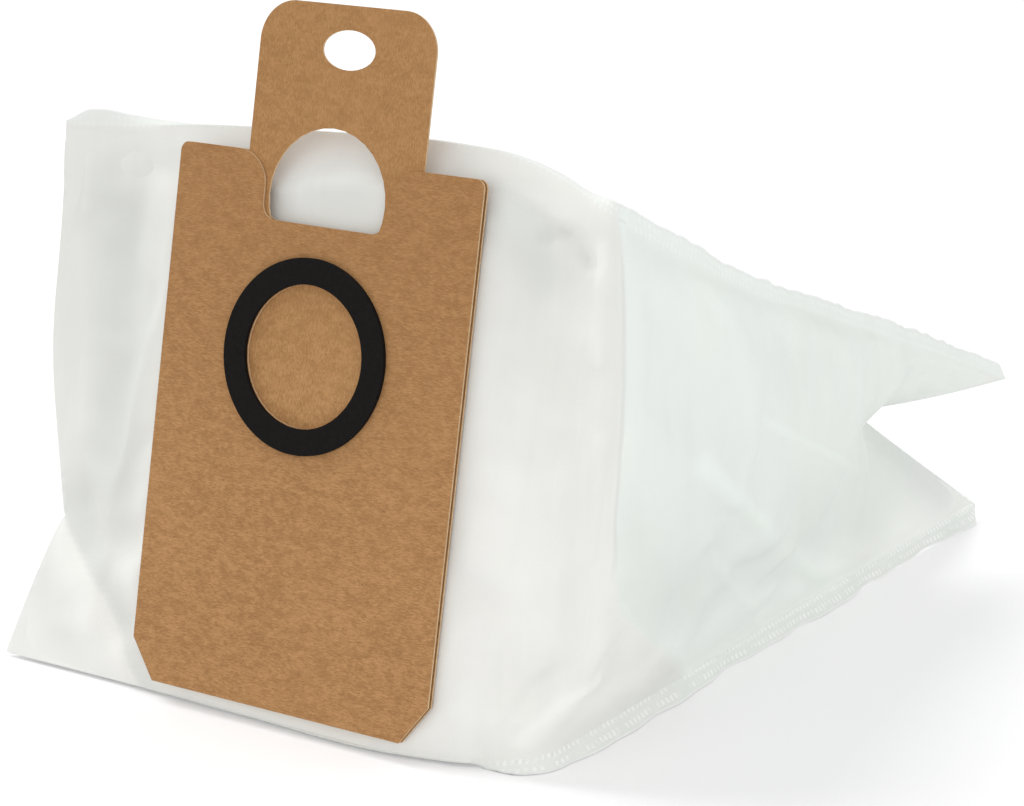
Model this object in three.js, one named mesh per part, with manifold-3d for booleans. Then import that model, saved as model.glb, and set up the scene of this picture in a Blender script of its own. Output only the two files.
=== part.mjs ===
// A disposable dust bag for a vacuum station: a stiff card collar with a sliding shutter and a foam
// seal, glued round the mouth of a bag of white non-woven cloth. The bag stands on its bottom seam,
// bent round one upright crease, as it does when it has just been unfolded.
//
// Millimetres. +X runs to the right along the card, +Y goes back, away from the card's face, +Z is up.
// The origin is the middle of the object's footprint, on the surface that it stands on.

import * as THREE from "three";
import { mergeVertices } from "three/addons/utils/BufferGeometryUtils.js";
import Module from "manifold-3d";

const wasm = await Module();
wasm.setup();

// Card collar
const plateWidth = 100;
const plateHeight = 149.5;
const plateThickness = 0.6;
const plateTopRadius = 2.5;
const chamferWidth = 8;
const chamferHeight = 11;
const leanDegrees = 11.5;
const glueGap = 0.1;

// Inlet, which the foam ring goes round
const inletRadius = 19.3;
const inletBelowTop = 53;
const inletHeight = 100.3;
const inletOffset = -1.1;
const sealRadius = 26.5;
const sealInset = 0.1;
const sealThickness = 1.2;

// Notch in the top of both plates, which shows the slide's port
const notchWidth = 40.6;
const notchDepth = 18;
const notchLipRadius = 9.5;
const notchFloorRadius = 4.5;

// Shutter, a card that slides between the plates
const shutterThickness = 0.6;
const shutterClearance = 0.15;
const tabWidth = 57.6;
const tabOffset = 1.6;
const tabRise = 41;
const tabCornerRadius = 11;
const shoulderWidth = 76;
const shoulderAboveInlet = 14;
const shutterBelowInlet = 27;
const shutterCornerRadius = 2;
const portRadius = 19.2;
const portTravel = 42.1;
const hangHoleWidth = 17.2;
const hangHoleHeight = 10.6;
const hangHoleBelowTop = 11.8;
const hangHoleOffset = 2.4;

// Spacer, the middle layer of card, with the channel that the shutter slides in
const spacerInset = 1.2;
const channelClearance = 0.4;

// Bag
const clothThickness = 0.8;
const clothBehindPlate = 0.3;
const seamWidth = 4.5;
const panelLeft = -100;
const panelRight = 78;
const panelHeight = 156;
const panelTopSetback = 5;
const panelSetbackStart = 22;
const panelSetbackRun = 16;
const panelSetbackMargin = 3;
const panelPuff = 24;
const leafLength = 259;
const leafEndHeight = 51;
const creaseTopHeight = 149;
const creaseBulge = 18;
const leafBulge = 19;
const leafPuff = 34;
const mouthMargin = 0.5;
const mouthCutDepth = 9.5;
const foldWalls = 1.5;

// Where the bag's guide lines run: setbacks are measured back from the plane of the card's face,
// tucks in from the bag's two ends, and heights up from the floor
const footSetback = 4;
const footCornerSetback = 5;
const footCreaseSetback = 17;
const headSetback = 11;
const headCornerSetback = 9;
const headCornerDrop = 3;
const headCreaseSetback = 4;
const headCreaseOverhang = 12;
const headEndOverhang = 9;
const leftTuckDepth = 13;
const leftTuckSetback = 10;
const leftTuckHeight = 41;
const endTuckDepth = 79;
const endTuckHeight = 53.5;
const endTuckInset = 5;
const bellyForward = 4;
const panelBellyHeight = 78;
const leafBellyHeight = 60;
const leafBellyPlace = 108;

// How finely the cloth and the round edges are divided
const panelSteps = 24;
const leafSteps = 28;
const heightSteps = 22;
const arcSteps = 16;
const circleSteps = 64;
const creaseBlend = 2;
const foldFade = 0.08;
const weldDistance = 1e-3;

const kraft = 0xac8256;
const kraftInside = 0xa47b50;
const foamBlack = 0x16171a;
const clothWhite = 0xf1f2ee;

const lean = THREE.MathUtils.degToRad(leanDegrees);
const plateTop = inletBelowTop;
const plateBottom = inletBelowTop - plateHeight;
const channelDepth = shutterThickness + 2 * shutterClearance;
const spacerThickness = channelDepth - 2 * glueGap;
const shutterPlace = plateThickness + shutterClearance;
const spacerPlace = plateThickness + glueGap;
const backPlatePlace = plateThickness + channelDepth;
const stackThickness = backPlatePlace + plateThickness;
const clothPlace = stackThickness + clothBehindPlate;
const columns = panelSteps + leafSteps;

// The layers of card

// The outline that both plates share: two small round corners at the top, two cut ones at the bottom,
// and the notch. An inset draws the same outline smaller all round.
function plateOutline(inset) {
  const half = plateWidth / 2 - inset;
  const top = plateTop - inset;
  const bottom = plateBottom + inset;
  const radius = plateTopRadius;
  const outline = new THREE.Shape();
  outline.moveTo(-half + chamferWidth, bottom);
  outline.lineTo(half - chamferWidth, bottom);
  outline.lineTo(half, bottom + chamferHeight);
  outline.lineTo(half, top - radius);
  outline.absarc(half - radius, top - radius, radius, 0, Math.PI / 2, false);
  return { outline, half, top, bottom, radius };
}

function finishLeftSide({ outline, half, top, bottom, radius }) {
  outline.lineTo(-half + radius, top);
  outline.absarc(-half + radius, top - radius, radius, Math.PI / 2, Math.PI, false);
  outline.lineTo(-half, bottom + chamferHeight);
  outline.closePath();
  return outline;
}

function notchedPlate() {
  const plate = plateOutline(0);
  const { outline, top } = plate;
  const wall = notchWidth / 2;
  const floor = top - notchDepth;
  const lip = notchLipRadius;
  const root = notchFloorRadius;
  outline.lineTo(wall + lip, top);
  outline.absarc(wall + lip, top - lip, lip, Math.PI / 2, Math.PI, false);
  outline.lineTo(wall, floor + root);
  outline.absarc(wall - root, floor + root, root, 0, -Math.PI / 2, true);
  outline.lineTo(-wall + root, floor);
  outline.absarc(-wall + root, floor + root, root, -Math.PI / 2, -Math.PI, true);
  outline.lineTo(-wall, top - lip);
  outline.absarc(-wall - lip, top - lip, lip, 0, Math.PI / 2, false);
  finishLeftSide(plate);
  outline.holes.push(circlePath(inletOffset, 0, inletRadius));
  return outline;
}

function circlePath(x, y, radius) {
  return new THREE.Path().absarc(x, y, radius, 0, 2 * Math.PI, true);
}

// The middle layer is open along the shutter's whole way, so it is a U that stops the shutter's
// shoulders at the top and its lower edge at the bottom.
function spacerOutline() {
  const spacer = plateOutline(spacerInset);
  const { outline, top } = spacer;
  const left = tabOffset - tabWidth / 2 - channelClearance;
  const right = tabOffset + tabWidth / 2 + channelClearance;
  const wide = shoulderWidth / 2 + channelClearance;
  const step = shoulderAboveInlet + channelClearance;
  const bottom = -shutterBelowInlet - portTravel - channelClearance;
  outline.lineTo(right, top);
  outline.lineTo(right, step);
  outline.lineTo(wide, step);
  outline.lineTo(wide, bottom);
  outline.lineTo(-wide, bottom);
  outline.lineTo(-wide, step);
  outline.lineTo(left, step);
  outline.lineTo(left, top);
  return finishLeftSide(spacer);
}

// The shutter at rest is pulled out: its plain part covers the inlet, and its port shows in the notch.
// The tab stands a little to one side of the collar's centre line.
function shutterOutline() {
  const left = tabOffset - tabWidth / 2;
  const right = tabOffset + tabWidth / 2;
  const wide = shoulderWidth / 2;
  const top = plateTop + tabRise;
  const bottom = -shutterBelowInlet;
  const corner = tabCornerRadius;
  const foot = shutterCornerRadius;
  const outline = new THREE.Shape();
  outline.moveTo(-wide + foot, bottom);
  outline.lineTo(wide - foot, bottom);
  outline.absarc(wide - foot, bottom + foot, foot, -Math.PI / 2, 0, false);
  outline.lineTo(wide, shoulderAboveInlet);
  outline.lineTo(right, shoulderAboveInlet);
  outline.lineTo(right, top - corner);
  outline.absarc(right - corner, top - corner, corner, 0, Math.PI / 2, false);
  outline.lineTo(left + corner, top);
  outline.absarc(left + corner, top - corner, corner, Math.PI / 2, Math.PI, false);
  outline.lineTo(left, shoulderAboveInlet);
  outline.lineTo(-wide, shoulderAboveInlet);
  outline.lineTo(-wide, bottom + foot);
  outline.absarc(-wide + foot, bottom + foot, foot, Math.PI, 1.5 * Math.PI, false);
  outline.closePath();
  outline.holes.push(circlePath(0, portTravel, portRadius));
  const hangHole = new THREE.Path();
  const holeHeight = top - hangHoleBelowTop;
  hangHole.absellipse(
    hangHoleOffset, holeHeight, hangHoleWidth / 2, hangHoleHeight / 2, 0, 2 * Math.PI, true,
  );
  outline.holes.push(hangHole);
  return outline;
}

function sealOutline() {
  const outline = new THREE.Shape();
  outline.absarc(inletOffset, 0, sealRadius, 0, 2 * Math.PI, false);
  outline.holes.push(circlePath(inletOffset, 0, inletRadius + sealInset));
  return outline;
}

// Cuts a layer of the stack from its outline. In the card's own frame x runs along the card, y goes
// back from the front plate's face, and z runs up the card from the height of the inlet.
function layer(name, outline, place, thickness, material, roundSteps) {
  const geometry = new THREE.ExtrudeGeometry(outline, {
    depth: thickness,
    bevelEnabled: false,
    curveSegments: roundSteps,
  });
  geometry.rotateX(Math.PI / 2);
  const mesh = new THREE.Mesh(geometry, material);
  mesh.name = name;
  mesh.position.y = place + thickness;
  return mesh;
}

// The bag

// The inside face of each sheet hangs on five upright profiles, and each guide line below gives a
// point on them: the left fold, the middle of the panel behind the card, the crease, the middle of the
// leaf that goes back from it, and the right fold. Between them the lines run as smooth arcs that
// meet at the crease.
function faceOfCard(height) {
  return (height - inletHeight) * Math.tan(lean);
}

const point = (x, y, z) => new THREE.Vector3(x, y, z);
const panelMiddle = (panelLeft + panelRight) / 2;
const seamTop = panelHeight - seamWidth / 2;
const leafMiddle = leafLength / 2;
const leafMiddleTop = (creaseTopHeight + leafEndHeight) / 2;

const headMiddleOverhang = (headCreaseOverhang + headEndOverhang) / 2;
const bellyBack = faceOfCard(panelBellyHeight) + clothPlace + panelPuff;

const leftTuck = point(
  panelLeft + leftTuckDepth, faceOfCard(leftTuckHeight) + leftTuckSetback, leftTuckHeight,
);
const rightTuck = point(panelRight - endTuckInset, leafLength - endTuckDepth, endTuckHeight);

const bottomSeam = [
  point(panelLeft, faceOfCard(0) + footCornerSetback, seamWidth),
  point(panelMiddle, faceOfCard(0) + footSetback, seamWidth),
  point(panelRight, faceOfCard(0) + footCreaseSetback, seamWidth),
  point(panelRight, leafMiddle, seamWidth),
  point(panelRight, leafLength, seamWidth),
];
const topSeam = [
  point(panelLeft, faceOfCard(seamTop) + headCornerSetback, seamTop - headCornerDrop),
  point(panelMiddle, faceOfCard(seamTop) + headSetback, seamTop),
  point(
    panelRight + headCreaseOverhang,
    faceOfCard(creaseTopHeight) + headCreaseSetback,
    creaseTopHeight - seamWidth,
  ),
  point(panelRight + headMiddleOverhang, leafMiddle, leafMiddleTop - seamWidth),
  point(panelRight + headEndOverhang, leafLength, leafEndHeight - seamWidth),
];
const frontBelly = [
  leftTuck,
  point(panelMiddle, faceOfCard(panelBellyHeight) - bellyForward, panelBellyHeight),
  point(panelRight + creaseBulge, 0, panelBellyHeight),
  point(panelRight + leafBulge, leafBellyPlace, leafBellyHeight),
  rightTuck,
];
const backBelly = [
  leftTuck,
  point(panelMiddle, bellyBack, panelBellyHeight),
  point(panelRight - leafPuff, clothPlace + panelPuff, panelBellyHeight),
  point(panelRight - leafPuff, leafBellyPlace, leafBellyHeight),
  rightTuck,
];

// The main folds of the front sheet: where each one runs, how far its flanks reach and how far it
// stands out of the cloth, or into it.
const mainFolds = [
  { from: point(-78, -4, 46), to: point(-56, -12, 18), reach: 7, height: -2.2 },
  { from: point(-70, 12, 140), to: point(-62, -8, 40), reach: 8, height: -2 },
  { from: point(60, 12, 150), to: point(80, 3, 124), reach: 6, height: -2.4 },
  { from: point(74, 8, 150), to: point(90, 3, 132), reach: 6, height: 2 },
  { from: point(90, 0, 38), to: point(70, -10, 8), reach: 6, height: 2.8 },
  { from: point(95, 4, 60), to: point(90, 32, 14), reach: 8, height: 2 },
  { from: point(96, 42, 79), to: point(91, 126, 12), reach: 8, height: 1.9 },
  { from: point(95, 88, 82), to: point(86, 166, 44), reach: 8, height: 1.6 },
  { from: point(78, 176, 50), to: point(80, 244, 16), reach: 9, height: -2.2 },
];

function liftOfFolds(place) {
  const nearest = point(0, 0, 0);
  let lift = 0;
  for (const { from, to, reach, height } of mainFolds) {
    new THREE.Line3(from, to).closestPointToPoint(place, true, nearest);
    lift += height * Math.exp(-((place.distanceTo(nearest) / reach) ** 2));
  }
  return lift;
}

// Where up each profile the sheets stand furthest apart, and how flat they are there.
const bellyShare = [0.27, 0.5, 0.5, 0.52, 0.56];
const frontFlatness = [0.8, 5, 2.4, 2.1, 0.9];
const backFlatness = [0.8, 2.2, 2, 2, 0.9];

// A value on the arc through three neighbouring profiles.
const arcWeights = (t) => [(1 - t) * (1 - 2 * t), 4 * t * (1 - t), t * (2 * t - 1)];

function alongLine(guide, column) {
  const onPanel = column <= panelSteps;
  const t = onPanel ? column / panelSteps : (column - panelSteps) / leafSteps;
  const first = onPanel ? 0 : 2;
  return [0, 1, 2].map((i) => ({ weight: arcWeights(t)[i], value: guide[first + i] }));
}

const numberAt = (guide, column) =>
  alongLine(guide, column).reduce((sum, { weight, value }) => sum + weight * value, 0);

function pointAt(guide, column) {
  const place = point(0, 0, 0);
  for (const { weight, value } of alongLine(guide, column)) place.addScaledVector(value, weight);
  return place;
}

// Which way is out of the bag on the card's side: straight out of the card along the panel, to the
// right along the leaf, and between the two at the crease.
function outwardAt(column) {
  const { smoothstep } = THREE.MathUtils;
  const turn = (smoothstep(column, panelSteps - creaseBlend, panelSteps + creaseBlend) * Math.PI) / 2;
  return point(Math.sin(turn), -Math.cos(turn), 0);
}

// The cloth lies flat on the back plate, and leaves it a little behind the notch.
function heldBehindCard(place) {
  const { smoothstep } = THREE.MathUtils;
  const up = (place.z - inletHeight) / Math.cos(lean);
  const beside = Math.abs(place.x) - plateWidth / 2;
  const setback =
    panelTopSetback *
    smoothstep(up, panelSetbackStart, panelSetbackStart + panelSetbackRun) *
    (1 - smoothstep(beside, panelSetbackMargin, panelSetbackMargin + panelSetbackRun));
  const nearest = faceOfCard(place.z) + (clothPlace + clothThickness + setback) / Math.cos(lean);
  place.y = Math.max(place.y, nearest);
  return place;
}

function sheetPoint(column, share, belly, flatness) {
  const foot = pointAt(bottomSeam, column);
  const head = pointAt(topSeam, column);
  const peak = numberAt(bellyShare, column);
  const reach = share < peak ? (peak - share) / peak : (share - peak) / (1 - peak);
  const hump = 1 - reach ** numberAt(flatness, column);
  const out = pointAt(belly, column).sub(foot.clone().lerp(head, peak));
  return foot.lerp(head, share).addScaledVector(out, hump);
}

// 0 at both ends of the range from 0 to 1, and 1 between them.
function awayFromEnds(share) {
  const { smoothstep } = THREE.MathUtils;
  return smoothstep(share, 0, foldFade) * smoothstep(1 - share, 0, foldFade);
}

function frontSheet(column, share) {
  const place = sheetPoint(column, share, frontBelly, frontFlatness);
  const free = awayFromEnds(share) * awayFromEnds(column / columns);
  place.addScaledVector(outwardAt(column), liftOfFolds(place) * free);
  return column < panelSteps ? heldBehindCard(place) : place;
}

function backSheet(column, share) {
  const place = sheetPoint(column, share, backBelly, backFlatness);
  return column < panelSteps ? heldBehindCard(place) : place;
}

// Both sheets of the bag as one closed body. With no wall it is the room inside, where the sheets meet
// at the seams and the folds. With a wall it is the outside, with the flat seam strips added.
function bagBody(wall) {
  const corners = [];
  const triangle = (...spots) => {
    for (const spot of spots) corners.push(spot.x, spot.y, spot.z);
  };
  const profiles = (side) => {
    const made = [];
    for (let column = 0; column <= columns; column++) made.push(profileAt(column, side, wall));
    return made;
  };
  const front = profiles(1);
  const back = profiles(-1);
  skin(front, triangle);
  skin(back, (a, b, c) => triangle(a, c, b));
  if (wall > 0) rim(front, back, triangle);
  const geometry = new THREE.BufferGeometry();
  geometry.setAttribute("position", new THREE.Float32BufferAttribute(corners, 3));
  return geometry;
}

// One upright profile of a sheet, from the foot to the head, set out by the wall.
function profileAt(column, side, wall) {
  const sheet = side > 0 ? frontSheet : backSheet;
  const outward = outwardAt(column).multiplyScalar(side * wall);
  if (column === 0) outward.x -= foldWalls * wall;
  if (column === columns) outward.y += foldWalls * wall;
  const spots = [];
  for (let row = 0; row <= heightSteps; row++) {
    spots.push(sheet(column, row / heightSteps).add(outward));
  }
  if (wall > 0) {
    spots.unshift(spots.at(0).clone().setZ(spots.at(0).z - seamWidth));
    spots.push(spots.at(-1).clone().setZ(spots.at(-1).z + seamWidth));
  }
  return spots;
}

// The cells' diagonals run into the sheet's corners, where the two sheets share both edges.
function skin(profiles, triangle) {
  const rows = profiles[0].length - 1;
  for (let column = 0; column < columns; column++) {
    for (let row = 0; row < rows; row++) {
      const [a, d] = [profiles[column][row], profiles[column][row + 1]];
      const [b, c] = [profiles[column + 1][row], profiles[column + 1][row + 1]];
      if (column < columns / 2 === row < rows / 2) {
        triangle(a, b, c);
        triangle(a, c, d);
      } else {
        triangle(a, b, d);
        triangle(b, c, d);
      }
    }
  }
}

// The cut edge all round, between the outside of one sheet and the outside of the other.
function rim(front, back, triangle) {
  const edge = (from, to, behindTo, behindFrom) => {
    triangle(from, to, behindTo);
    triangle(from, behindTo, behindFrom);
  };
  const last = front[0].length - 1;
  for (let column = 0; column < columns; column++) {
    const next = column + 1;
    edge(front[next][0], front[column][0], back[column][0], back[next][0]);
    edge(front[column][last], front[next][last], back[next][last], back[column][last]);
  }
  for (let row = 0; row < last; row++) {
    edge(front[0][row], front[0][row + 1], back[0][row + 1], back[0][row]);
    edge(front[columns][row + 1], front[columns][row], back[columns][row], back[columns][row + 1]);
  }
}

function solidFrom(geometry) {
  const bare = geometry.clone();
  bare.deleteAttribute("normal");
  bare.deleteAttribute("uv");
  const merged = mergeVertices(bare, weldDistance);
  return new wasm.Manifold(
    new wasm.Mesh({
      numProp: 3,
      vertProperties: Float32Array.from(merged.getAttribute("position").array),
      triVerts: Uint32Array.from(merged.index.array),
    }),
  );
}

function geometryFrom(solid) {
  const { vertProperties, triVerts } = solid.getMesh();
  const geometry = new THREE.BufferGeometry();
  geometry.setAttribute("position", new THREE.BufferAttribute(vertProperties, 3));
  geometry.setIndex(new THREE.BufferAttribute(triVerts, 1));
  geometry.computeVertexNormals();
  return geometry;
}

// The round hole in the front sheet that the inlet opens into.
function mouthCutter() {
  const radius = inletRadius + mouthMargin;
  const cutter = new THREE.CylinderGeometry(radius, radius, mouthCutDepth, circleSteps);
  cutter.translate(inletOffset, mouthCutDepth / 2, 0);
  cutter.rotateX(-lean);
  cutter.translate(0, 0, inletHeight);
  return cutter;
}

function makeBag(material) {
  const hollow = solidFrom(bagBody(clothThickness)).subtract(solidFrom(bagBody(0)));
  const mesh = new THREE.Mesh(geometryFrom(hollow.subtract(solidFrom(mouthCutter()))), material);
  mesh.name = "filter_bag";
  return mesh;
}

// The object

const matte = (color, roughness) => new THREE.MeshStandardMaterial({ color, roughness, metalness: 0 });
const cardMaterial = matte(kraft, 0.9);
const innerCardMaterial = matte(kraftInside, 0.92);
const foamMaterial = matte(foamBlack, 0.95);
const clothMaterial = matte(clothWhite, 0.85);

const collar = new THREE.Group();
collar.position.z = inletHeight;
collar.rotation.x = -lean;
collar.add(
  layer("front_plate", notchedPlate(), 0, plateThickness, cardMaterial, arcSteps),
  layer("spacer_frame", spacerOutline(), spacerPlace, spacerThickness, innerCardMaterial, arcSteps),
  layer("shutter_slide", shutterOutline(), shutterPlace, shutterThickness, innerCardMaterial, arcSteps),
  layer("back_plate", notchedPlate(), backPlatePlace, plateThickness, innerCardMaterial, arcSteps),
  layer("seal_ring", sealOutline(), -glueGap - sealThickness, sealThickness, foamMaterial, circleSteps),
);

const dustBag = new THREE.Group();
dustBag.add(collar, makeBag(clothMaterial));

const extent = new THREE.Box3().setFromObject(dustBag, true);
const middle = extent.getCenter(new THREE.Vector3());
dustBag.position.set(-middle.x, -middle.y, -extent.min.z);

export default dustBag;
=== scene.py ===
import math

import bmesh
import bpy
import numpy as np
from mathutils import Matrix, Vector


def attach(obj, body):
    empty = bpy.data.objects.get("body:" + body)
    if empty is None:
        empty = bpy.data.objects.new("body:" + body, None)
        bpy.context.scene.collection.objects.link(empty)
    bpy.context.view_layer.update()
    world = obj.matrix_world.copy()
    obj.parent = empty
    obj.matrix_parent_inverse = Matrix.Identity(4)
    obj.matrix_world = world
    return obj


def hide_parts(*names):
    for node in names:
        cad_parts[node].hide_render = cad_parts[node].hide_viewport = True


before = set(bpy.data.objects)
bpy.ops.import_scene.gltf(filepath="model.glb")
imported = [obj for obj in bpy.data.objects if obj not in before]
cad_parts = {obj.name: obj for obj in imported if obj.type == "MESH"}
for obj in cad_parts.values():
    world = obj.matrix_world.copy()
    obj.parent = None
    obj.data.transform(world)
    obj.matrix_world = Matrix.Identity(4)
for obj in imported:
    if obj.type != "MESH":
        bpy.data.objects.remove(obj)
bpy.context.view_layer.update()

# The looks of a disposable dust bag for a vacuum station: kraft card for the collar and its shutter,
# foam for the seal, and a bag of thin white non-woven cloth that stands on its welded bottom seam.
# The bag is shaped in millimetres in the card's frame: x along the card, y back from its face at the
# height of the inlet, z up from the floor. to_row turns that into the frame's metres.

scene = bpy.context.scene
rng = np.random.default_rng(41)

# The collar leans back, and its inlet is a little to the left of its middle
LEAN = math.radians(11.5)
CARD_FORWARD = (0, -math.cos(LEAN), math.sin(LEAN))
CARD_UPWARD = (0, math.sin(LEAN), math.cos(LEAN))
CARD_HALF_WIDTH = 50
INLET_HEIGHT = 100.3
INLET_SIDE = -1.1
# Where the card's frame starts in the model's, whose origin is in the middle of the footprint
CARD_SHIFT = np.array([-0.47, -120.48, 0.0])


def to_row(places):
    return (np.asarray(places, float) + CARD_SHIFT) / 1000


# Camera and lamps

# The photograph's width and its lens's distance from it, both in its pixels
PHOTO_WIDTH = 1024
FOCAL_LENGTH = 3000
SENSOR_WIDTH = 36
CAMERA_PLACE = (0.47118, -0.73693, 0.30535)
CAMERA_DIP = 15.7
CAMERA_TURN = 33.4


def set_camera():
    lens = bpy.data.cameras.new("product_view")
    lens.sensor_width = SENSOR_WIDTH
    lens.lens = SENSOR_WIDTH * FOCAL_LENGTH / PHOTO_WIDTH
    lens.clip_end = 20
    camera = bpy.data.objects.new("product_view", lens)
    camera.location = CAMERA_PLACE
    camera.rotation_euler = (math.radians(90 - CAMERA_DIP), 0, math.radians(CAMERA_TURN))
    scene.collection.objects.link(camera)
    scene.camera = camera


def add_sun(name, towards, strength, softness):
    lamp = bpy.data.lights.new(name, "SUN")
    lamp.energy = strength
    lamp.angle = math.radians(softness)
    holder = bpy.data.objects.new(name, lamp)
    holder.rotation_euler = Vector(towards).to_track_quat("-Z", "Y").to_euler()
    scene.collection.objects.link(holder)


# Materials

# The weld marks, in millimetres: from one to the next along a seam, and where the rows are across it
WELD_PITCH = 2.1
WELD_ROWS = (0.2, 2.6)


class Wire:
    """A node's output that takes part in Python sums."""

    def __init__(self, finish, socket):
        self.finish = finish
        self.socket = socket

    def maths(self, operation, *others):
        values = dict(enumerate((self, *others)))
        return self.finish.node("ShaderNodeMath", {"operation": operation}, values)

    def __add__(self, other):
        return self.maths("ADD", other)

    def __sub__(self, other):
        return self.maths("SUBTRACT", other)

    def __rsub__(self, other):
        return self.finish.node("ShaderNodeMath", {"operation": "SUBTRACT"}, {0: other, 1: self})

    def __mul__(self, other):
        return self.maths("MULTIPLY", other)

    def __truediv__(self, other):
        return self.maths("DIVIDE", other)

    def __abs__(self):
        return self.maths("ABSOLUTE")

    __radd__ = __add__
    __rmul__ = __mul__

    def rise(self, low, high):
        """0 below low, 1 above high, and smooth between them."""
        return self.finish.node(
            "ShaderNodeMapRange",
            {"interpolation_type": "SMOOTHSTEP"},
            {"Value": self, "From Min": low, "From Max": high},
        )


class Finish:
    """A material with one Principled shader, and the nodes that feed it."""

    def __init__(self, name, **settings):
        self.material = bpy.data.materials.new(name)
        self.material.use_nodes = True
        self.tree = self.material.node_tree
        self.shader = self.tree.nodes["Principled BSDF"]
        for socket, value in settings.items():
            self.feed(self.shader.inputs[socket.replace("_", " ")], value)

    def feed(self, socket, value):
        if isinstance(value, Wire):
            self.tree.links.new(value.socket, socket)
        else:
            socket.default_value = value

    def node(self, kind, settings=None, values=None, output=0):
        made = self.tree.nodes.new(kind)
        for name, value in (settings or {}).items():
            setattr(made, name, value)
        for socket, value in (values or {}).items():
            self.feed(made.inputs[socket], value)
        return Wire(self, made.outputs[output])

    def place(self):
        return self.node("ShaderNodeTexCoord", output="Object")

    def stored(self, name, output="Fac"):
        """What the mesh holds under that name at each point."""
        return self.node("ShaderNodeAttribute", {"attribute_name": name}, output=output)

    def reach(self, vector, way):
        """How far the vector goes that way."""
        settings = {"operation": "DOT_PRODUCT"}
        return self.node("ShaderNodeVectorMath", settings, {0: vector, 1: way}, output="Value")

    def turned(self, vector, turn=(0, 0, 0), scale=(1, 1, 1)):
        return self.node(
            "ShaderNodeMapping", {}, {"Vector": vector, "Rotation": turn, "Scale": scale}
        )

    def noise(self, vector, scale, detail=2.0, roughness=0.5):
        return self.node(
            "ShaderNodeTexNoise",
            {},
            {"Vector": vector, "Scale": scale, "Detail": detail, "Roughness": roughness},
        )

    def spots(self, vector, scale, randomness=1.0):
        """How far each place is from the middle of the nearest of many cells."""
        values = {"Vector": vector, "Scale": scale, "Randomness": randomness}
        return self.node("ShaderNodeTexVoronoi", {}, values)

    def mix(self, share, first, second):
        values = {0: share, 6: first, 7: second}
        return self.node("ShaderNodeMix", {"data_type": "RGBA"}, values, output=2)

    def layered(self, tone, *layers):
        """The tone under thin layers, each a mask, how much of it covers at most, and its colour."""
        for mask, cover, colour in layers:
            tone = self.mix(mask * cover, tone, colour)
        return tone

    def relief(self, height, depth, strength):
        normal = self.node(
            "ShaderNodeBump", {}, {"Height": height, "Distance": depth, "Strength": strength}
        )
        self.feed(self.shader.inputs["Normal"], normal)

    def colour(self, value):
        self.feed(self.shader.inputs["Base Color"], value)

    def roughness(self, value):
        self.feed(self.shader.inputs["Roughness"], value)


def rgb(red, green, blue):
    """A colour given as it looks on a screen, from 0 to 255, for a shader's socket."""
    def linear(level):
        level /= 255
        return level / 12.92 if level <= 0.04045 else ((level + 0.055) / 1.055) ** 2.4
    return (linear(red), linear(green), linear(blue), 1)


def kraft_card(name, base, grain_scale):
    """Kraft card: pressed fibres that run one way, brown and pale flecks, pale cut edges, and a painted
    shade towards the top.
    """
    card = Finish(name, Specular_IOR_Level=0.25)
    flat = card.turned(card.place(), turn=(-LEAN, 0, 0))
    fibres = card.noise(card.turned(flat, scale=grain_scale), 1, detail=4, roughness=0.62)
    mottle = card.noise(card.turned(flat, scale=(0.7, 1, 1.3)), 330, detail=5, roughness=0.72)
    cloudy = card.noise(flat, 24, detail=2)
    flecks = card.noise(card.turned(flat, scale=(0.8, 1, 1.6)), 1150, detail=3, roughness=0.75)
    pale_hairs, dark_hairs = (
        card.noise(card.turned(flat, turn=(0, turn, 0), scale=(420, 1, 4200)), 1, detail=2)
        for turn in (0.5, -0.9)
    )
    # Painted shade: the card darker towards its top
    top_shade = card.reach(flat, (0, 0, 1)).rise(0.06, 0.17)
    red, green, blue = base[:3]
    dark = (0.68 * red, 0.6 * green, 0.53 * blue, 1)
    light = (1.24 * red + 0.012, 1.24 * green + 0.012, 1.24 * blue + 0.01, 1)
    speck = (0.4 * red, 0.4 * green, 0.4 * blue, 1)
    tone = card.layered(
        card.mix(fibres.rise(0.34, 0.68), dark, light),
        (1, 0.35, base),
        (mottle.rise(0.46, 0.62), 0.42, dark),
        ((1 - mottle).rise(0.5, 0.66), 0.24, light),
        (cloudy.rise(0.4, 0.65), 0.1, light),
        (flecks.rise(0.61, 0.69), 0.7, speck),
        ((1 - flecks).rise(0.64, 0.74), 0.5, light),
        (pale_hairs.rise(0.66, 0.74), 0.3, light),
        (dark_hairs.rise(0.66, 0.74), 0.3, dark),
        (top_shade, 0.36, dark),
    )
    normal = card.node("ShaderNodeNewGeometry", output="Normal")
    cut = 1 - abs(card.reach(normal, CARD_FORWARD)).rise(0.45, 0.97)
    plies = card.noise(card.turned(flat, scale=(260, 5200, 260)), 1, detail=2)
    pale = card.mix(plies.rise(0.3, 0.7), rgb(196, 163, 122), rgb(222, 196, 160))
    card.colour(card.layered(tone, (cut, 0.85, pale)))
    card.roughness(fibres * 0.14 + 0.8)
    card.relief(fibres * 0.6 + flecks * 0.4, 0.00006, 0.7)
    return card.material


def foam_rubber(name):
    """Black foam with a skin of tiny open pores."""
    foam = Finish(name, Specular_IOR_Level=0.16)
    place = foam.place()
    pores = foam.spots(place, 2600)
    patches = foam.noise(place, 600, detail=3)
    tone = foam.mix(pores.rise(0.1, 0.55), rgb(7, 6, 6), rgb(17, 15, 14))
    foam.colour(foam.layered(tone, (patches.rise(0.4, 0.7), 0.4, rgb(27, 24, 23))))
    foam.roughness(patches * 0.15 + 0.8)
    foam.relief(pores + patches * 0.5, 0.00012, 0.8)
    return foam.material


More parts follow.
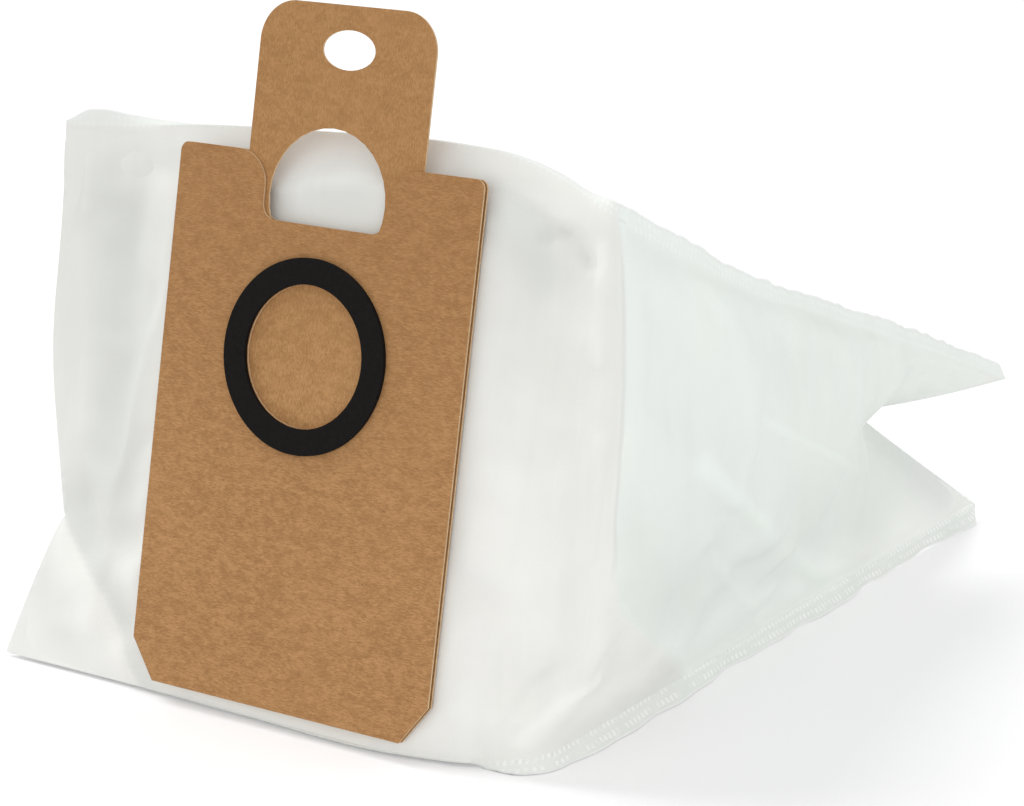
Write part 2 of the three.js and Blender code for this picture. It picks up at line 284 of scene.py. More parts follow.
def weld_marks(cloth, place, along, across, pressed):
    """Two rows of short marks along each seam, worn away here and there."""
    beat = (along / WELD_PITCH).maths("FRACT")
    wear = cloth.noise(place, 170, detail=2)
    mark = (1 - abs(beat - 0.5).rise(0.16, 0.34)) * wear.rise(0.36, 0.56)
    inner, outer = (1 - abs(across - row).rise(0.55, 0.85) for row in WELD_ROWS)
    return mark * inner.maths("MAXIMUM", outer) * pressed


def crease_shade(along, height):
    """A thin painted shade where the leaf's painted shaded tone starts, on the middle of the corner's
    height.
    """
    low, high = SHADE_HEIGHTS
    beyond = along - CREASE_ALONG - SHADE_START + height.rise(low / 1000, high / 1000) * SHADE_LEAD
    line = 1 - abs(beyond).rise(0.1, 1.0)
    return line * height.rise(0.052, 0.066) * (1 - height.rise(0.128, 0.146))


def welded_cloth(name):
    """White spunbond cloth: fine embossed points, cloudy fibres, and weld marks along each seam. At
    each point the mesh holds seam_place: how far along the seam it is and how far out across it, in
    millimetres, and how well the marks show. It also holds shaded_leaf_share, which is 1 on the leaf that
    goes back from the card and paints it in a shaded tone, and painted_fold_shading, the painted highlight
    and painted shade of its folds and creases."""
    cloth = Finish(name, Specular_IOR_Level=0.3, Sheen_Weight=0.12)
    place = cloth.place()
    height = cloth.reach(place, (0, 0, 1))
    seam = {0: cloth.stored("seam_place", "Vector")}
    along, across, pressed = (
        cloth.node("ShaderNodeSeparateXYZ", {}, seam, output=axis) for axis in ("X", "Y", "Z")
    )
    leaf = cloth.stored("shaded_leaf_share")
    fold = cloth.stored("painted_fold_shading")
    points = cloth.spots(place, 900, randomness=0.35)
    fibres = cloth.noise(place, 1500, detail=3, roughness=0.65)
    clouds = cloth.noise(place, 38, detail=3, roughness=0.55)
    streaks = cloth.noise(cloth.turned(place, turn=(0, 0, 0.3), scale=(120, 60, 14)), 1, detail=3)
    cool = cloth.noise(place, 17, detail=1)
    welds = weld_marks(cloth, place, along, across, pressed)
    # Painted shade: the panel's cloth darker towards its top
    panel_tone_and_shade = cloth.mix(height.rise(0.02, 0.13), rgb(240, 240, 235), rgb(229, 229, 224))
    # Painted shade: the leaf a darker, greener shaded tone of the same cloth, lighter towards its top
    shaded_leaf_tone = cloth.mix(height.rise(0.0, 0.12), rgb(229, 235, 228), rgb(236, 242, 236))
    # Painted highlight for the folds, greener on the shaded leaf
    fold_highlight = cloth.mix(leaf, rgb(250, 250, 245), rgb(240, 249, 241))
    cloth.colour(cloth.layered(
        cloth.mix(leaf, panel_tone_and_shade, shaded_leaf_tone),
        (clouds.rise(0.35, 0.7), 0.3, rgb(236, 238, 235)),
        (points.rise(0.15, 0.5), 0.05, rgb(214, 217, 213)),
        (streaks.rise(0.5, 0.72), 0.14, rgb(212, 215, 211)),
        ((1 - streaks).rise(0.56, 0.74), 0.16, rgb(247, 248, 246)),
        # Painted on the shaded leaf: cool patches of shade, and painted light near its foot
        (cool.rise(0.5, 0.66) * leaf, 0.18, rgb(228, 234, 238)),
        ((1 - height.rise(0.0, 0.045)) * leaf, 0.95, rgb(252, 255, 250)),
        # Painted highlights and painted shades of the folds and creases, and a painted shade along the
        # crease
        (fold.rise(0.0, 1.6), 0.75, fold_highlight),
        ((0 - fold).rise(0.0, 1.6), 0.6, rgb(206, 209, 205)),
        (crease_shade(along, height), 0.3, rgb(205, 206, 203)),
        # Painted light showing through the strips beyond the seams, paler still at their outer edges
        (across.rise(-0.4, 0.2), 0.5, rgb(233, 239, 234)),
        (welds, 0.9, rgb(252, 254, 252)),
        (across.rise(3.9, 4.5), 0.7, rgb(250, 251, 250)),
    ))
    cloth.roughness(0.78 - welds * 0.2)
    cloth.relief(points * 0.3 + fibres * 0.4 - welds * 2.5, 0.00006, 0.8)
    return cloth.material


def floor_paper(name):
    """A plain white sweep. The camera sees it a little lighter than it lights the object."""
    paper = Finish(name, Base_Color=(0.88, 0.875, 0.885, 1), Roughness=0.9, Specular_IOR_Level=0.1)
    seen = paper.node("ShaderNodeLightPath", output="Is Camera Ray")
    paper.feed(paper.shader.inputs["Emission Color"], paper.mix(seen, (0, 0, 0, 1), (1, 1, 1, 1)))
    paper.shader.inputs["Emission Strength"].default_value = 0.13
    return paper.material


# The bag

# Each sheet of cloth is a grid. Its columns go along the seams, over the panel behind the card and
# then over the leaf, and its rows go up from the foot seam to the head seam.
PANEL_COLUMNS = 100
LEAF_COLUMNS = 140
COLUMNS = PANEL_COLUMNS + LEAF_COLUMNS
COLUMN_WIDTH = 1.82
CREASE_ALONG = PANEL_COLUMNS * COLUMN_WIDTH
ON_PANEL = np.arange(COLUMNS + 1)[:, None] < PANEL_COLUMNS
ROWS = 80
CLOTH_THICKNESS = 0.3
LOWEST_CLOTH = 0.3
# Points nearer than this are one, in metres
SAME_PLACE = 2e-6
# The welded strips beyond the seams: how far apart their two layers are, how far the foot's one leans
# out, and the waves along both, each with its height, pitch and start
STRIP_ROWS = 3
STRIP_WIDTH = 4.6
STRIP_GAP = 0.28
FOOT_LEAN_OUT = 3.4
FOOT_WAVE_SCALE = 1.5
STRIP_WAVES = ((0.5, 0.11, 0.4), (0.35, 0.27, 2.1), (0.25, 0.55, 4.0))
FOOT_ROUGHNESS = 0.16
HEAD_ROUGHNESS = 0.3
# Where the cloth lies behind the card's face, and how much further back it is behind the notch
CLOTH_BEHIND_FACE = 2.75
NOTCH_SETBACK = 0.8
MOUTH_RADIUS = 19.9
# The mouth is cut in what lies no deeper than this behind the card's face, in metres
MOUTH_DEPTH = 0.006
# The panel's end fold bows out: how far, how high up, how tall the bow is and how many columns take it
END_BULGE = 3.6
END_BULGE_HEIGHT = 88
END_BULGE_SPREAD = 30
END_BULGE_COLUMNS = 16
# Slack waves on each sheet, and how soft the painted crisp edges are to each side
SLACK_WAVES = 14
EDGE_SOFTNESS = 2.2
# The leaf's painted shaded tone starts this far past the crease, and further forward by the lead at the
# upper height
SHADE_START = 2.9
SHADE_LEAD = 4.4
SHADE_HEIGHTS = (55, 130)
# The rear sheet is painted darker than the front one, as shade, and has little of the leaf's painted shaded
# tone
REAR_PAINTED_SHADE = 0.5
REAR_SHADED_LEAF_SHARE = 0.2
# The corner's triangle that faces forward, which keeps the panel's tone instead of the leaf's painted shade:
# how high its edge is at each place back from the card
FACET_BACK = (0, 8, 35, 69)
FACET_TOP = (58, 43, 25, 4)

# The cloth settles in this many steps. Of its move, what is left after a few rounds of smoothing but
# not after many is kept, up to the largest fold in metres.
SETTLING_STEPS = 18
FINE_ROUNDS = 5
BROAD_ROUNDS = 110
LARGEST_FOLD = 0.0012
CLOTH_SETTINGS = {
    "quality": 4,
    "mass": 0.06,
    "tension_stiffness": 25,
    "compression_stiffness": 25,
    "shear_stiffness": 12,
    "bending_stiffness": 6,
    "air_damping": 2,
    "shrink_min": -0.02,
    "vertex_group_mass": "held",
    "use_pressure": True,
    "uniform_pressure_force": 1.2,
}
CLOTH_GRAVITY = 0.1


def face_of_card(height):
    """How far back the card's leaning face is at that height."""
    return (height - INLET_HEIGHT) * math.tan(LEAN)


def up_the_card(grid):
    """How far up the card from the inlet's middle each place is."""
    return (grid[..., 2] - INLET_HEIGHT) / math.cos(LEAN)


def smooth_step(value, low, high):
    share = np.clip((value - low) / (high - low), 0, 1)
    return share * share * (3 - 2 * share)


def smooth_line(points, shares):
    """A smooth line through the points, read at shares of its length."""
    points = np.array(points, float)
    knots = np.concatenate([[0], np.cumsum(np.linalg.norm(np.diff(points, axis=0), axis=1))])
    knots /= knots[-1]
    slopes = np.gradient(points, knots, axis=0)
    first = np.clip(np.searchsorted(knots, shares, side="right") - 1, 0, len(points) - 2)
    run = (knots[first + 1] - knots[first])[:, None]
    t = (shares - knots[first])[:, None] / run
    return (
        (2 * t**3 - 3 * t**2 + 1) * points[first]
        + (t**3 - 2 * t**2 + t) * run * slopes[first]
        + (3 * t**2 - 2 * t**3) * points[first + 1]
        + (t**3 - t**2) * run * slopes[first + 1]
    )


def seam_line(panel, leaf):
    """A seam's line, smooth along the panel and along the leaf, with a corner at the crease."""
    front = smooth_line(panel, np.linspace(0, 1, PANEL_COLUMNS + 1))
    back = smooth_line([panel[-1]] + leaf, np.linspace(0, 1, LEAF_COLUMNS + 1))
    return np.vstack([front, back[1:]])


def rounded(line, reach):
    """The line with its corner at the crease rounded over that many columns each way."""
    columns = np.arange(len(line))
    near = 1 - smooth_step(np.abs(columns - PANEL_COLUMNS), reach * 0.5, reach * 2)
    for _ in range(reach * reach):
        eased = line.copy()
        eased[1:-1] = (line[:-2] + 2 * line[1:-1] + line[2:]) / 4
        line = line + (eased - line) * near[:, None]
    return line


def arcs(values):
    """Five values, two arcs of three that meet at the crease, read at every column."""
    values = np.array(values, float)
    if values.ndim == 1:
        values = values[:, None]
    parts = []
    for first, columns in ((0, PANEL_COLUMNS), (2, LEAF_COLUMNS)):
        t = np.linspace(0, 1, columns + 1)[:, None]
        weights = ((1 - t) * (1 - 2 * t), 4 * t * (1 - t), t * (2 * t - 1))
        parts.append(sum(w * values[first + i] for i, w in enumerate(weights)))
    return np.vstack([parts[0], parts[1][1:]])


# The two seams, through points along the panel and then along the leaf
FOOT = rounded(seam_line(
    [(-100, -15.4, 1.2), (-50, -15.4, 1.2), (-11, -16.4, 1.2), (40, -15.8, 1.2), (66, -9, 2.2),
     (78, -3.4, 4.5)],
    [(78, 60, 4.5), (77.5, 129.5, 4.5), (77.5, 200, 4.5), (78, 259, 4.5)],
), 3)
HEAD = rounded(seam_line(
    [(-100, 19.5, 150.6), (-80, 20.5, 151.8), (-50, 21.5, 154.6), (-11, 22, 156.6), (34, 21.5, 158),
     (52, 20.5, 157), (68, 18.5, 153.2), (83, 15.5, 147.6), (90, 13.6, 144.3)],
    [(91, 40, 132.5), (90.5, 63, 121.6), (89, 128, 97.2), (88, 188, 75.6), (87, 259, 48.6)],
), 8)
# The middle line of each sheet, furthest out between the seams: at the panel's end, behind the card,
# at the crease, along the leaf and at the leaf's end
FRONT_BELLY = arcs([
    (-87, -2, 41), (-11, face_of_card(78) - 4, 78), (96, 0, 78), (98, 108, 60), (75, 172, 57),
])
BACK_BELLY = arcs([
    (-87, -2, 41), (-11, face_of_card(78) + 26.4, 78), (44, 26.4, 78), (44, 108, 60), (75, 172, 57),
])
# At the same five places: how far up from the foot seam that line is, and how long each sheet stays
# out before it turns in to a seam, where 1 is a straight slope
BELLY_SHARE = arcs([0.275, 0.5, 0.5, 0.52, 0.5625])
FRONT_FLATNESS = arcs([0.8, 5, 2.4, 2.1, 1.05])
HEAD_FLATNESS = arcs([0.8, 5, 2.4, 2.1, 0.8])
BACK_FLATNESS = arcs([0.8, 2.2, 2, 2, 1.05])
BACK_HEAD_FLATNESS = arcs([0.8, 2.2, 2, 2, 0.8])

# Folds of the front sheet: a line of points on it, half width and height out of the cloth in
# millimetres, and how much painted highlight (above 0) or painted shade (below 0) the cloth gets there.
FOLDS = [
    # The main folds, which the solid bag has too, the last one deeper
    ([(-78, -4, 46), (-56, -12, 18)], 7, -2.2, 0.0),
    ([(-70, 12, 140), (-62, -8, 40)], 8, -2.0, 0.0),
    ([(60, 12, 150), (80, 3, 124)], 6, -2.4, -0.1),
    ([(74, 8, 150), (90, 3, 132)], 6, 2.0, 0.1),
    ([(90, 0, 38), (70, -10, 8)], 6, 2.8, 0.1),
    ([(95, 4, 60), (90, 32, 14)], 8, 2.0, 0.0),
    ([(96, 42, 79), (91, 126, 12)], 8, 1.9, 0.1),
    ([(95, 88, 82), (86, 166, 44)], 8, 1.6, 0.0),
    ([(78, 176, 50), (80, 244, 16)], 9, -1.6, 0.0),
    # The left of the panel: painted shades at its foot, beside the card and at the top, with painted
    # highlights on ridges
    ([(-92, -6, 26), (-80, -11, 14)], 14, 0.4, -0.9),
    ([(-84, 14, 132), (-79, 4, 92), (-75, -5, 56)], 17, 0.0, -1.3),
    ([(-60, 12, 125), (-60, 2, 94), (-60, -4, 66), (-60, -8, 46)], 7, -0.5, -0.7),
    ([(-90, 12, 118), (-86, 6, 95), (-83, 0, 70)], 5, 0.4, 0.4),
    ([(-76, 14, 128), (-72, 4, 92), (-70, -4, 62)], 5, -0.4, -0.7),
    ([(-96, 18, 144), (-95, 16, 132)], 4, -0.6, -0.7),
    ([(-91, 17, 142), (-90, 15, 128)], 2, 0.6, 0.5),
    # The right of the panel: a painted shade and wrinkles below the top edge, and painted highlights on
    # ridges
    ([(-22, 12, 140), (0, 12, 138), (18, 12, 138)], 16, 0.0, -0.8),
    ([(53, 15, 147), (60, 14, 140), (68, 12, 129)], 9, -0.3, -1.3),
    ([(76, 14, 141), (78, 13, 138), (81, 11, 134)], 1.8, -1.0, -1.2),
    ([(56, 14, 132), (67, 12, 139), (73, 13, 141)], 1.5, -0.9, -0.9),
    ([(70, 13, 140), (72, 11, 128), (73, 8, 116)], 1.8, 0.6, 0.8),
    ([(58, 20, 155), (74, 18, 151), (84, 16, 146)], 2.6, 0.4, 0.7),
    ([(84, 12, 139), (85, 10, 126), (87, 6, 111)], 2.2, 0.6, 0.9),
    ([(90, 1, 92), (92, 0, 77), (94, -3, 61)], 2.4, 0.5, 0.6),
    ([(58, 2, 108), (66, -3, 86)], 2.2, -0.6, -0.4),
    ([(62, -2, 84), (74, -8, 44)], 15, 0.3, 0.6),
    ([(62, 4, 104), (82, 5, 97)], 1.3, 0.6, 0.4),
    # The foot of the corner: a painted highlight on a tongue of the panel, a painted shade beside it, and a
    # triangle that faces forward, painted light
    ([(87, 5, 24), (87, -3, 23), (83, -8, 19), (78, -9, 14), (74, -9, 9)], 2.8, 1.3, 2.2),
    ([(84, -4, 34), (76, -10, 26), (70, -12, 14)], 3, -0.8, -0.9),
    ([(96, 2, 52), (93, 13, 42), (90, 28, 31), (85, 47, 19), (81, 61, 10)], 1.6, 0.7, 0.6),
    ([(91, 6, 44), (84, 22, 20)], 1.6, -0.7, -0.4),
    ([(84, 4, 14), (81, 34, 12)], 11, 0.0, 0.9),
    # The leaf: a painted highlight along a ridge, a faint one on each side, and painted shades between them
    # and at the end
    ([(101, 35, 78), (102, 50, 67), (100, 69, 54), (99, 85, 42), (95, 100, 34), (85, 126, 21), (80, 148, 9)],
     3.6, 0.8, 1.2),
    ([(100, 71, 82), (101, 90, 72), (97, 119, 59), (91, 144, 48), (86, 160, 42)], 2, 0.6, 0.8),
    ([(95, 52, 48), (96, 56, 43), (92, 67, 35), (88, 81, 26), (87, 90, 19)], 2.6, 0.5, 0.8),
    ([(98, 10, 66), (97, 17, 57), (94, 37, 42), (88, 59, 26)], 12, -0.3, -0.4),
    ([(99, 90, 56), (92, 120, 38), (85, 149, 27), (81, 177, 12)], 12, -0.3, -0.3),
    ([(76, 186, 50), (76, 204, 39), (76, 224, 25), (76, 240, 14)], 11, 0.5, -1.0),
    ([(95, 39, 121), (94, 67, 115), (93, 97, 103)], 14, 0.3, 0.5),
    ([(84, 176, 26), (80, 226, 18)], 20, 0.0, -0.6),
]
# Crisp edges of creased cloth, shown only as painted light and shade: a line of points, how far the painting
# reaches, and the painted light (above 0) or shade (below 0) to the left and to the right of the line as it
# is seen from outside the bag.
PAINTED_CREASES = [
    ([(-87, -4, 41), (-74, -9, 30), (-65, -12, 23), (-58, -14, 14), (-52, -15, 4)], 11, -1.2, 0.7),
    ([(50, 17, 151), (57, 16, 148), (65, 15, 147), (72, 14, 143), (79, 12, 137)], 5, 0.5, -0.5),
    ([(89, 10, 30), (84, 0, 19), (80, -4, 11), (77, -6, 5)], 6, -0.5, 0.3),
    ([(95, -1, 59), (93, 13, 42), (90, 28, 31), (85, 47, 19), (81, 61, 8)], 5, 0.0, 0.4),
]


def loose_sheet(belly, foot_flatness, head_flatness):
    """One sheet of cloth from seam to seam, as a grid of places, column by column."""
    share = np.linspace(0, 1, ROWS + 1)[None, :]
    below = share < BELLY_SHARE
    reach = np.where(below, (BELLY_SHARE - share) / BELLY_SHARE, (share - BELLY_SHARE) / (1 - BELLY_SHARE))
    flatness = np.where(below, foot_flatness, head_flatness)
    hump = (1 - np.clip(reach, 0, 1) ** flatness)[:, :, None]
    out = (belly - (FOOT + (HEAD - FOOT) * BELLY_SHARE))[:, None, :]
    foot, head = FOOT[:, None, :], HEAD[:, None, :]
    grid = foot + (head - foot) * share[:, :, None] + out * hump
    end = 1 - smooth_step(np.arange(COLUMNS + 1), 0, END_BULGE_COLUMNS)[:, None]
    bow = np.exp(-(((grid[..., 2] - END_BULGE_HEIGHT) / END_BULGE_SPREAD) ** 2))
    grid[..., 0] -= END_BULGE * end * bow
    return grid


def hold_behind_card(grid):
    """The cloth lies flat on the back plate, and leaves it a little behind the notch."""
    beyond = np.abs(grid[..., 0]) - CARD_HALF_WIDTH
    at_notch = smooth_step(up_the_card(grid), 22, 38) * (1 - smooth_step(beyond, -9, 6))
    behind = (CLOTH_BEHIND_FACE + NOTCH_SETBACK * at_notch) / math.cos(LEAN)
    nearest = face_of_card(grid[..., 2]) + behind
    grid[..., 1] = np.where(ON_PANEL, np.maximum(grid[..., 1], nearest), grid[..., 1])
    return grid


def outward(grid, side):
    """The way out of the bag at each place of a sheet."""
    normal = np.cross(np.gradient(grid, axis=0), np.gradient(grid, axis=1))
    length = np.linalg.norm(normal, axis=2, keepdims=True)
    return side * normal / np.maximum(length, 1e-9)


def beside(grid, facing, line):
    """How far each place is from a line of points, and how far to its left as seen from outside."""
    nearest = np.full(grid.shape[:2], np.inf)
    left = np.zeros(grid.shape[:2])
    points = np.array(line, float)
    for start, end in zip(points, points[1:]):
        run = end - start
        off = grid - start
        along = np.clip((off @ run) / (run @ run), 0, 1)
        far = np.linalg.norm(off - along[..., None] * run, axis=2)
        side = (np.cross(facing, run) * off).sum(axis=2) / np.linalg.norm(run)
        left = np.where(far < nearest, side, left)
        nearest = np.minimum(nearest, far)
    return nearest, left


def add_folds(grid, side, free):
    """Raises the folds on the front sheet and slack waves on both, and gives each place its painted light
    and shade.
    """
    lift = np.zeros(grid.shape[:2])
    pale = np.zeros(grid.shape[:2])
    facing = outward(grid, side)
    if side > 0:
        for line, width, height, tone in FOLDS:
            shape = np.exp(-((beside(grid, facing, line)[0] / width) ** 2))
            lift += height * shape
            pale += tone * shape
        for line, reach, left_painted_light, right_painted_light in PAINTED_CREASES:
            far, left = beside(grid, facing, line)
            share = smooth_step(left, -EDGE_SOFTNESS, EDGE_SOFTNESS)
            pale += np.exp(-((far / reach) ** 2)) * (left_painted_light * share + right_painted_light * (1 - share))
    column = np.linspace(0, 1, COLUMNS + 1)[:, None]
    row = np.linspace(0, 1, ROWS + 1)[None, :]
    for _ in range(SLACK_WAVES):
        across, up, start = rng.uniform(6, 22), rng.uniform(-3, 3), rng.uniform(0, 6.28)
        height = rng.uniform(0.04, 0.12)
        lift += height * np.sin(across * 3 * column + up * 3 * row + start)
    return grid + facing * (lift * free)[..., None], pale


def seam_strips():
    """The welded strips beyond the two seams. Each is a list of rows, and a row has a line of places
    for each layer of cloth. The strip stands out along the leaf, and along most of the panel it is
    folded back: under the bag at the foot, and behind its top edge at the head. The gap between the
    layers, which closes at the outermost row, comes with each."""
    columns = np.arange(COLUMNS + 1)
    on_leaf = smooth_step(columns, PANEL_COLUMNS - 4, PANEL_COLUMNS + 4)
    out = np.stack([on_leaf, on_leaf - 1, np.zeros(COLUMNS + 1)], axis=1)
    up, back = np.array([0, 0, 1.0]), np.array([0, 1.0, 0])
    waves = sum(height * np.sin(columns * pitch + start) for height, pitch, start in STRIP_WAVES)
    ends = smooth_step(np.minimum(columns, COLUMNS - columns), -1, 5)
    foot_tuck = 1 - smooth_step(columns, 84, 97)
    head_tuck = smooth_step(columns, 5, 25) * (1 - smooth_step(columns, 90, 101))
    strips = []
    for seam, tucked, way, rough, lean_out in (
        (FOOT, foot_tuck, -1, FOOT_ROUGHNESS, FOOT_WAVE_SCALE * waves + FOOT_LEAN_OUT),
        (HEAD, head_tuck, 1, HEAD_ROUGHNESS, waves),
    ):
        ragged = np.convolve(rng.normal(0, rough, COLUMNS + 1), (0.25, 0.5, 0.25), "same")
        ragged += 0.5 * rough * np.sin(columns * 0.31 + 1.2) + 0.9 * rough * np.sin(columns * 0.075)
        tucked = tucked[:, None]
        straight = way * up * (1 - tucked) + (back - 0.12 * way * up) * tucked
        gap = (out * (1 - tucked) + way * up * tucked) * STRIP_GAP
        gap[[0, -1]] = 0
        rows = []
        for step in range(1, STRIP_ROWS + 1):
            share = step / STRIP_ROWS
            reach = (STRIP_WIDTH * ends + ragged) * share
            lean = lean_out * share * (1 - tucked[:, 0]) * ends
            place = seam + straight * reach[:, None] + out * lean[:, None]
            apart = gap * (step < STRIP_ROWS)
            layers = (place + apart, place - apart)
            for layer in layers:
                layer[:, 2] = np.maximum(layer[:, 2], LOWEST_CLOTH)
            rows.append(layers)
        strips.append((rows, gap))
    return strips


def card_shadow(grid):
    """1 where the cloth is behind the collar, and 0 clear of it."""
    up = up_the_card(grid)
    across = 1 - smooth_step(np.abs(grid[..., 0]), CARD_HALF_WIDTH - 4, CARD_HALF_WIDTH + 4)
    along = smooth_step(up, -101, -94) * (1 - smooth_step(up, 24, 40))
    return across * along * ON_PANEL


def bag_grids():
    """Both sheets with their seam strips, as two grids of places, and the painted light and shade of each
    place.
    """
    columns = np.arange(COLUMNS + 1)[:, None]
    rows = np.arange(ROWS + 1)[None, :]
    seam = np.minimum(rows, ROWS - rows) / 6
    end = np.minimum(columns, COLUMNS - columns) / 6
    free = np.clip(seam, 0, 1) * np.clip(end, 0, 1)
    front = hold_behind_card(loose_sheet(FRONT_BELLY, FRONT_FLATNESS, HEAD_FLATNESS))
    back = hold_behind_card(loose_sheet(BACK_BELLY, BACK_FLATNESS, BACK_HEAD_FLATNESS))
    for _ in range(3):
        for column in range(PANEL_COLUMNS - 1, PANEL_COLUMNS + 2):
            front[column] = (front[column - 1] + 2 * front[column] + front[column + 1]) / 4
    front, front_painted_shading = add_folds(front, 1, free * (1 - card_shadow(front)))
    front = hold_behind_card(front)
    back, back_painted_shading = add_folds(back, -1, free)
    # Painted shade on the rear sheet
    back_painted_shading -= REAR_PAINTED_SHADE
    (foot_rows, foot_gap), (head_rows, head_gap) = seam_strips()
    grids = []
    for layer, (sheet, way) in enumerate(((front, 1), (back, -1))):
        sheet[:, 0] += foot_gap * way
        sheet[:, -1] += head_gap * way
        foot = np.stack([row[layer] for row in foot_rows[::-1]], axis=1)
        head = np.stack([row[layer] for row in head_rows], axis=1)
        grids.append(np.concatenate([foot, sheet, head], axis=1))
    strips = ((0, 0), (STRIP_ROWS, STRIP_ROWS))
    return grids, [np.pad(pale, strips, "edge") for pale in (front_painted_shading, back_painted_shading)]


def held_shares(grids):
    """How firmly each place of the cloth is held: 1 at the welds, the folds and the glued part."""
    column = np.arange(COLUMNS + 1)[:, None]
    row = np.arange(-STRIP_ROWS, ROWS + STRIP_ROWS + 1)[None, :]
    weld = 1 - smooth_step(np.minimum(row, ROWS - row), 0, 5)
    fold = 1 - smooth_step(np.minimum(column, COLUMNS - column), 1, 9)
    crease = 0.35 * (1 - smooth_step(np.abs(column - PANEL_COLUMNS), 0, 3))
    loose = np.maximum(np.maximum(weld, fold), crease)
    return np.stack([np.maximum(loose, card_shadow(grids[0])), loose]).ravel()


def smoothed(values, pairs, rounds):
    """Values at the mesh's points, averaged with their neighbours' that many times."""
    first, second = pairs.T
    count = len(values)
    neighbours = np.bincount(first, minlength=count) + np.bincount(second, minlength=count)
    for _ in range(rounds):
        around = [
            np.bincount(first, column[second], count) + np.bincount(second, column[first], count)
            for column in values.T
        ]
        values = (values + np.stack(around, axis=1) / neighbours[:, None]) / 2
    return values


def settle_cloth(bag):
    """Lets the slack cloth settle under a little pressure, and takes its small folds: the broad part
    of the move is left out, so the bag keeps its own shape."""
    mesh = bag.data
    count = len(mesh.vertices)
    start = np.zeros(count * 3)
    mesh.vertices.foreach_get("co", start)
    held = np.zeros(count, np.float32)
    mesh.attributes["held"].data.foreach_get("value", held)
    group = bag.vertex_groups.new(name="held")
    for index, share in enumerate(held.tolist()):
        group.add([index], share, "REPLACE")
    cloth = bag.modifiers.new("settling", "CLOTH")
    for name, value in CLOTH_SETTINGS.items():
        setattr(cloth.settings, name, value)
    cloth.settings.effector_weights.gravity = CLOTH_GRAVITY
    cloth.collision_settings.use_collision = False
    cloth.collision_settings.use_self_collision = False
    for step in range(1, SETTLING_STEPS + 1):
        scene.frame_set(step)
    settled = np.zeros(count * 3)
    shaped = bag.evaluated_get(bpy.context.evaluated_depsgraph_get())
    shaped.data.vertices.foreach_get("co", settled)
    bag.modifiers.remove(cloth)
    bag.vertex_groups.remove(group)
    pairs = np.zeros(len(mesh.edges) * 2, np.int32)
    mesh.edges.foreach_get("vertices", pairs)
    pairs = pairs.reshape(-1, 2)
    small = smoothed((settled - start).reshape(-1, 3), pairs, FINE_ROUNDS)
    small -= smoothed(small, pairs, BROAD_ROUNDS)
    length = np.linalg.norm(small, axis=1, keepdims=True)
    small *= LARGEST_FOLD * np.tanh(length / LARGEST_FOLD) / np.maximum(length, 1e-9)
    places = start.reshape(-1, 3) + small * (1 - held[:, None])
    places[:, 2] = np.maximum(places[:, 2], LOWEST_CLOTH / 1000)
    mesh.vertices.foreach_set("co", places.ravel())
    mesh.update()


def open_mouth(work):
    """Cuts the round mouth in the front sheet, behind the inlet."""
    centre = to_row((INLET_SIDE, 0, INLET_HEIGHT))
    forward = np.array(CARD_FORWARD)
    mouth = MOUTH_RADIUS / 1000

    def from_inlet(place):
        """How far a place is from the inlet's axis, and how deep behind the card's face."""
        off = np.array(place) - centre
        return math.hypot(off[0], off @ np.array(CARD_UPWARD)), -off @ forward

    gone = []
    for face in work.faces:
        radius, depth = from_inlet(face.calc_center_median())
        if radius < mouth and depth < MOUTH_DEPTH:
            gone.append(face)
    bmesh.ops.delete(work, geom=gone, context="FACES")
    for vertex in work.verts:
        if vertex.is_boundary:
            radius, _ = from_inlet(vertex.co)
            off = np.array(vertex.co) - centre
            deep = (off @ forward) * forward
            vertex.co = centre + (off - deep) * (mouth / radius) + deep


def store(mesh, name, values):
    """Keeps a number, or three of them, under that name for each point of the mesh."""
    kind, field = ("FLOAT", "value") if values.ndim == 1 else ("FLOAT_VECTOR", "vector")
    attribute = mesh.attributes.new(name, kind, "POINT")
    attribute.data.foreach_set(field, values.astype(np.float32).ravel())


def label_cloth(mesh, grids, pale):
    """Stores what the cloth's material and its settling need to know at each point."""
    wide, tall = grids[0].shape[:2]
    column = np.repeat(np.arange(wide), tall)
    row = np.tile(np.arange(tall), wide)
    along = column * COLUMN_WIDTH
    across = np.maximum(STRIP_ROWS - row, row - (STRIP_ROWS + ROWS)) * (STRIP_WIDTH / STRIP_ROWS)
    shown = smooth_step(column, PANEL_COLUMNS - 14, PANEL_COLUMNS - 4)
    pressed = np.where(row > tall / 2, 0.12 + 0.2 * shown, shown)
    _, back, height = grids[0].reshape(-1, 3).T
    # The leaf's painted shaded tone starts past the crease, and leaves out the corner's forward triangle
    start = SHADE_START - SHADE_LEAD * smooth_step(height, *SHADE_HEIGHTS)
    leaf = smooth_step(along - CREASE_ALONG - start, -1.2, 1.2)
    leaf *= smooth_step(height - np.interp(back, FACET_BACK, FACET_TOP), -2, 2)
    store(mesh, "seam_place", np.tile(np.stack([along, across, pressed], axis=1), (2, 1)))
    store(mesh, "shaded_leaf_share", np.concatenate([leaf, REAR_SHADED_LEAF_SHARE * leaf]))
    store(mesh, "painted_fold_shading", np.concatenate([sheet.ravel() for sheet in pale]))
    store(mesh, "held", held_shares(grids))


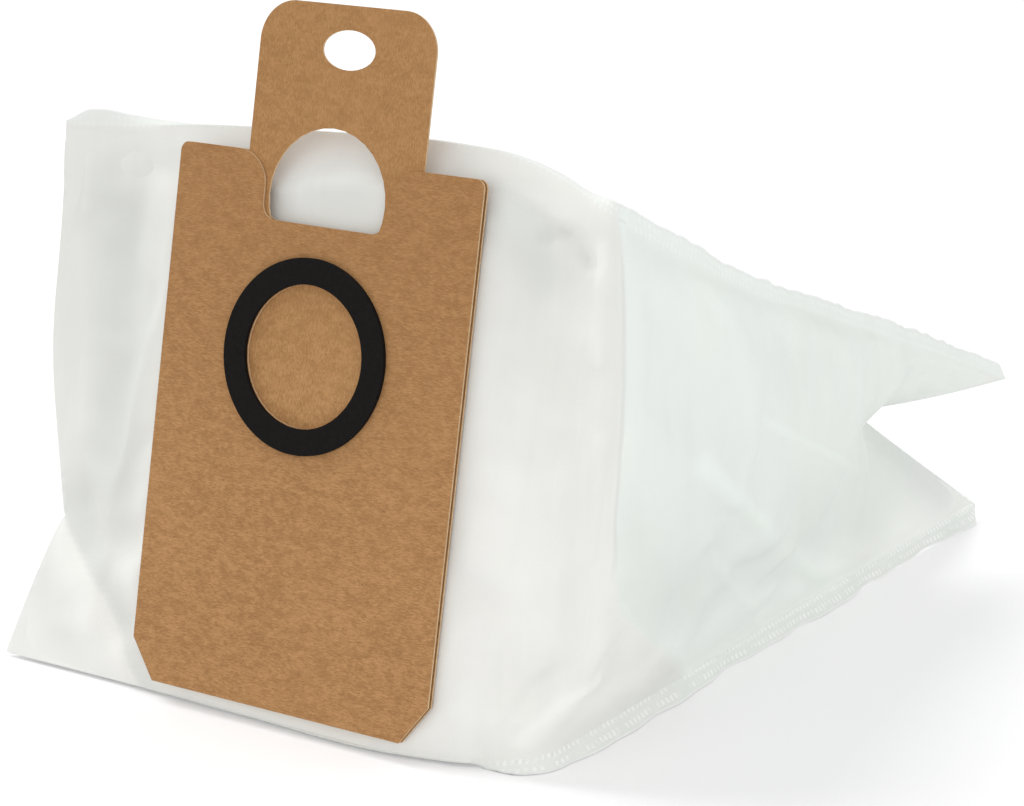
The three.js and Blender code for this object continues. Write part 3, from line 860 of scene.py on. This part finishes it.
def build_bag(material):
    """Both sheets joined at their edges as one skin, with the mouth cut in it."""
    grids, pale = bag_grids()
    wide, tall = grids[0].shape[:2]
    faces = []
    for sheet, turn in ((0, 1), (1, -1)):
        for column in range(COLUMNS):
            for row in range(tall - 1):
                here = (sheet * wide + column) * tall + row
                beyond = here + tall
                faces.append((here, beyond, beyond + 1, here + 1)[::turn])
    places = np.concatenate([grid.reshape(-1, 3) for grid in grids])
    mesh = bpy.data.meshes.new("filter_bag_cloth")
    mesh.from_pydata(to_row(places).tolist(), [], faces)
    label_cloth(mesh, grids, pale)
    work = bmesh.new()
    work.from_mesh(mesh)
    bmesh.ops.remove_doubles(work, verts=work.verts, dist=SAME_PLACE)
    open_mouth(work)
    work.to_mesh(mesh)
    work.free()
    for polygon in mesh.polygons:
        polygon.use_smooth = True
    mesh.set_sharp_from_angle(angle=math.radians(50))
    bag = bpy.data.objects.new("filter_bag_cloth", mesh)
    scene.collection.objects.link(bag)
    mesh.materials.append(material)
    return bag


# The scene

def dress(node, material, softened):
    """Gives a CAD piece its material, and softens its edges by that many metres."""
    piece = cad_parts[node]
    piece.data.materials.clear()
    piece.data.materials.append(material)
    weld = piece.modifiers.new("joined_corners", "WELD")
    weld.merge_threshold = 1e-6
    bevel = piece.modifiers.new("worn_edges", "BEVEL")
    bevel.width = softened
    bevel.segments = 3
    bevel.limit_method = "ANGLE"
    bevel.angle_limit = math.radians(50)


set_camera()
add_sun("window_light", (0.57, -0.02, -0.82), 1.25, 32)
add_sun("leaf_fill", (-0.92, 0.30, -0.25), 0.6, 70)
add_sun("front_fill", (0.10, 0.95, -0.28), 0.25, 70)

world = bpy.data.worlds.new("studio")
world.use_nodes = True
world.node_tree.nodes["Background"].inputs["Color"].default_value = (1, 1, 1, 1)
world.node_tree.nodes["Background"].inputs["Strength"].default_value = 0.727
scene.world = world
scene.view_settings.view_transform = "Standard"

floor_mesh = bpy.data.meshes.new("floor")
floor_mesh.from_pydata([(-6, -4, 0), (6, -4, 0), (6, 9, 0), (-6, 9, 0)], [], [(0, 1, 2, 3)])
floor = bpy.data.objects.new("floor", floor_mesh)
floor_mesh.materials.append(floor_paper("floor_paper"))
scene.collection.objects.link(floor)

front_card = kraft_card("kraft_face", rgb(177, 134, 88), (620, 1900, 3300))
inner_card = kraft_card("kraft_inner", rgb(182, 139, 91), (3000, 1900, 500))
foam = foam_rubber("black_foam")
cloth = welded_cloth("spunbond_cloth")

dress("front_plate", front_card, 0.00034)
dress("spacer_frame", inner_card, 0.00008)
dress("shutter_slide", inner_card, 0.00028)
dress("back_plate", inner_card, 0.00016)
dress("seal_ring", foam, 0.0003)

bag = build_bag(cloth)
settle_cloth(bag)
bag.data.attributes.remove(bag.data.attributes["held"])
thickness = bag.modifiers.new("cloth_thickness", "SOLIDIFY")
thickness.thickness = CLOTH_THICKNESS / 1000
thickness.offset = -1
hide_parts("filter_bag")
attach(bag, "bag")
